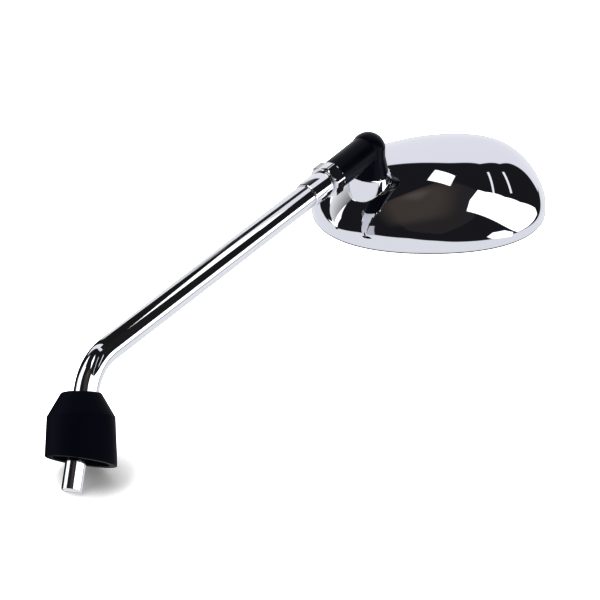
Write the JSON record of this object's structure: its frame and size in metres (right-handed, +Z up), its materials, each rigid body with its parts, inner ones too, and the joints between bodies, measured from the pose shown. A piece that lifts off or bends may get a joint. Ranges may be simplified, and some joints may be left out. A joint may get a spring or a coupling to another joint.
{
  "type": "motorcycle mirror",
  "caption": "Motorcycle mirror: oval chromed head on a sprung ball joint, black elbow, and a bent chromed stem with a rubber boot over its clamp pin.",
  "frame": {"origin": "on the mounting pin's axis, level with the underside of the rubber boot", "axes": "+Z up along the pin towards the arm, +X towards the side that the arm leans to"},
  "size_m": [0.294, 0.1055, 0.2292],
  "materials": {
    "pin_steel": "bright turned steel",
    "stem_chrome": "polished chrome",
    "boot_rubber": "matt moulded rubber",
    "nut_chrome": "bright plated",
    "zinc_steel": "zinc plated",
    "elbow_black": "semi-gloss moulded",
    "brass": "turned brass",
    "spring_steel": "drawn wire",
    "liner_plastic": "moulded low-friction plastic",
    "shell_chrome": "chromed plastic, polished",
    "seal_rubber": "matt",
    "mirror_glass": "silvered behind",
    "pad_foam": "foam tape",
    "carrier_plastic": "moulded"
  },
  "bodies": {
    "stem": {"mounting_pin": "pin_steel", "stem_tube": "stem_chrome", "stem_boot": "boot_rubber", "stem_sleeve": "stem_chrome", "stem_stud": "zinc_steel", "lock_nut": "nut_chrome"},
    "knuckle": {"elbow_body": "elbow_black", "stem_insert": "brass", "pivot_insert": "brass", "pivot_stud": "zinc_steel", "pressure_dish": "zinc_steel", "pivot_spring": "spring_steel", "spring_washer": "zinc_steel", "pivot_nut": "zinc_steel"},
    "outer_liner": {"outer_liner": "liner_plastic"},
    "inner_liner": {"inner_liner": "liner_plastic"},
    "head": {"head_shell": "shell_chrome", "rim_seal": "seal_rubber", "mirror_glass": "mirror_glass", "adhesive_pad": "pad_foam", "glass_carrier": "carrier_plastic", "carrier_screws": "zinc_steel"}
  },
  "joints": [
    {"name": "elbow_swivel", "type": "hinge", "parent": "stem", "child": "knuckle", "pos_m": [0.17952, 0, 0.19337], "axis": [0.7771, 0, 0.6293], "range_deg": [-90, 90]},
    {"name": "head_turn", "type": "hinge", "parent": "knuckle", "child": "outer_liner", "pos_m": [0.19328, 0.00861, 0.17638], "axis": [-0.5855, -0.3665, 0.7231], "range_deg": [-35, 35]},
    {"name": "head_tilt_across", "type": "hinge", "parent": "outer_liner", "child": "inner_liner", "pos_m": [0.19328, 0.00861, 0.17638], "axis": [0.6434, -0.7527, 0.1395], "range_deg": [-9, 9]},
    {"name": "head_tilt_along", "type": "hinge", "parent": "inner_liner", "child": "head", "pos_m": [0.19328, 0.00861, 0.17638], "axis": [0.4932, 0.5469, 0.6765], "range_deg": [-9, 9]}
  ]
}
